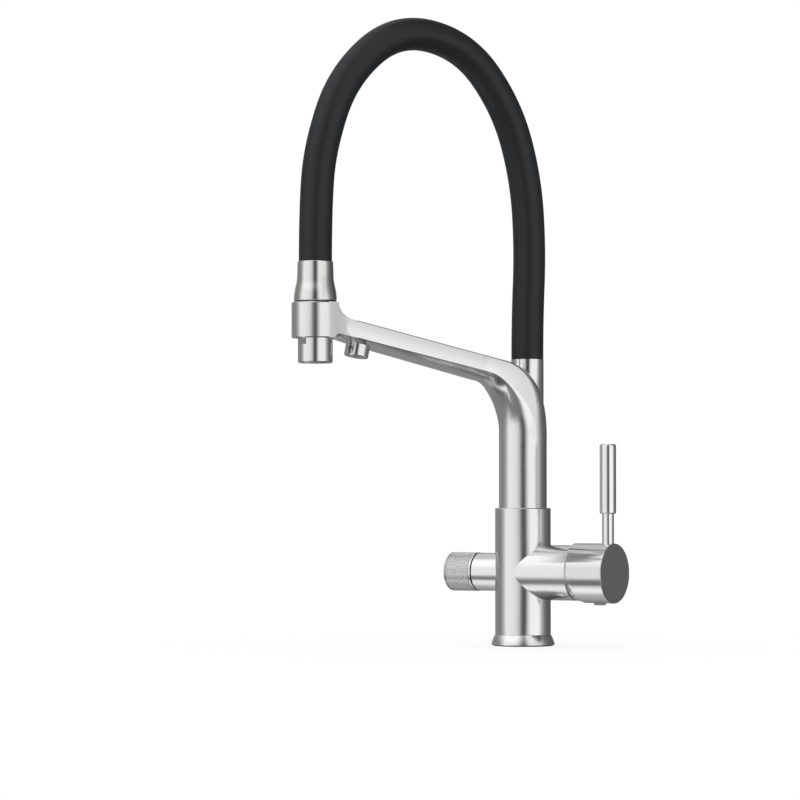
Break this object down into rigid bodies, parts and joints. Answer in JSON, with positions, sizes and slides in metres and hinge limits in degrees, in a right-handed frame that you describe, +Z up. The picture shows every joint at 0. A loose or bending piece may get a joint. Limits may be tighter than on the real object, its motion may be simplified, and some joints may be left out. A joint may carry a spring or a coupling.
{
  "type": "kitchen mixer tap",
  "caption": "Deck-mounted kitchen mixer tap: swivelling arm, lift-out spray head on an arched black hose, side mixing lever, knurled knob and small outlet for filtered water.",
  "frame": {"origin": "middle of the foot, on the worktop", "axes": "+Z up; the user stands at -Y; the mixing lever is on +X and the filter knob on -X; at rest the arm points 24 degrees from -Y towards -X"},
  "size_m": [0.1819, 0.2219, 0.4947],
  "materials": {
    "satin_steel": "satin",
    "polished_steel": "polished",
    "plain_steel": "satin",
    "brass": "satin",
    "silicone": "satin",
    "hose_core": "satin",
    "seal_rubber": "matte",
    "white_plastic": "satin",
    "grey_plastic": "satin",
    "black_plastic": "matte",
    "ceramic": "satin"
  },
  "bodies": {
    "deck_body": {"base_seal": "seal_rubber", "base_ring": "satin_steel", "mixer_body": "satin_steel", "filter_tube_seal": "seal_rubber", "spout_lock_screw": "plain_steel", "cartridge_seals": "seal_rubber", "cartridge_case": "white_plastic", "fixed_ceramic_disc": "ceramic", "cartridge_lid": "white_plastic", "cartridge_nut": "brass", "cartridge_dome": "satin_steel", "filter_valve_body": "brass", "filter_seal": "seal_rubber", "filter_fixed_disc": "ceramic", "knob_washer": "black_plastic"},
    "spout": {"spout": "satin_steel", "spout_orings": "seal_rubber", "spout_slip_rings": "white_plastic", "spout_washer": "black_plastic", "filter_tube": "white_plastic", "hose_tail": "brass", "dock_bush": "black_plastic", "filter_outlet": "polished_steel", "filter_aerator": "grey_plastic", "silicone_hose": "silicone", "water_hose": "hose_core"},
    "hose_end": {"hose_fitting": "brass", "fitting_clip": "plain_steel"},
    "spray_head": {"head_bell": "satin_steel", "nozzle_body": "satin_steel", "swivel_oring": "seal_rubber", "check_valve": "white_plastic", "nozzle_seal": "seal_rubber", "nozzle_collar": "satin_steel", "nozzle_aerator": "grey_plastic"},
    "turret": {"cartridge_turret": "grey_plastic", "spindle_pin": "plain_steel"},
    "disc_slider": {"moving_ceramic_disc": "ceramic", "disc_carrier": "white_plastic"},
    "handle": {"cartridge_spindle": "brass", "handle_cap": "satin_steel", "handle_grub_screw": "plain_steel", "handle_plug": "polished_steel", "lever_stem": "polished_steel", "lever_grip": "satin_steel"},
    "knob": {"filter_knob": "satin_steel", "filter_spindle": "brass", "filter_moving_disc": "ceramic", "knob_grub_screw": "plain_steel"}
  },
  "joints": [
    {"name": "spout_swivel", "type": "hinge", "parent": "deck_body", "child": "spout", "pos_m": [0, 0, 0.1078], "axis": [0, 0, 1], "range_deg": [-136, 184]},
    {"name": "head_lift", "type": "slide", "parent": "spout", "child": "hose_end", "axis": [0, 0, 1], "range_m": [0, 0.052], "deforming": ["silicone_hose", "water_hose"]},
    {"name": "head_swivel", "type": "hinge", "parent": "hose_end", "child": "spray_head", "pos_m": [-0.0794, -0.17832, 0.2766], "axis": [0, 0, 1], "continuous": true},
    {"name": "mixer_temperature", "type": "hinge", "parent": "deck_body", "child": "turret", "pos_m": [0.056, 0, 0.0584], "axis": [1, 0, 0], "range_deg": [-45, 45]},
    {"name": "mixer_flow", "type": "hinge", "parent": "turret", "child": "handle", "pos_m": [0.056, 0, 0.0584], "axis": [0, 1, 0], "range_deg": [0, 22]},
    {"name": "disc_slide", "type": "slide", "parent": "turret", "child": "disc_slider", "axis": [0, 0, 1], "range_m": [0, 0.00592]},
    {"name": "filter_turn", "type": "hinge", "parent": "deck_body", "child": "knob", "pos_m": [-0.0407, 0, 0.0584], "axis": [-1, 0, 0], "range_deg": [0, 90]}
  ],
  "couplings": [
    {"joint": "disc_slide", "follows": "mixer_flow", "m_per_rad": 0.015405}
  ]
}
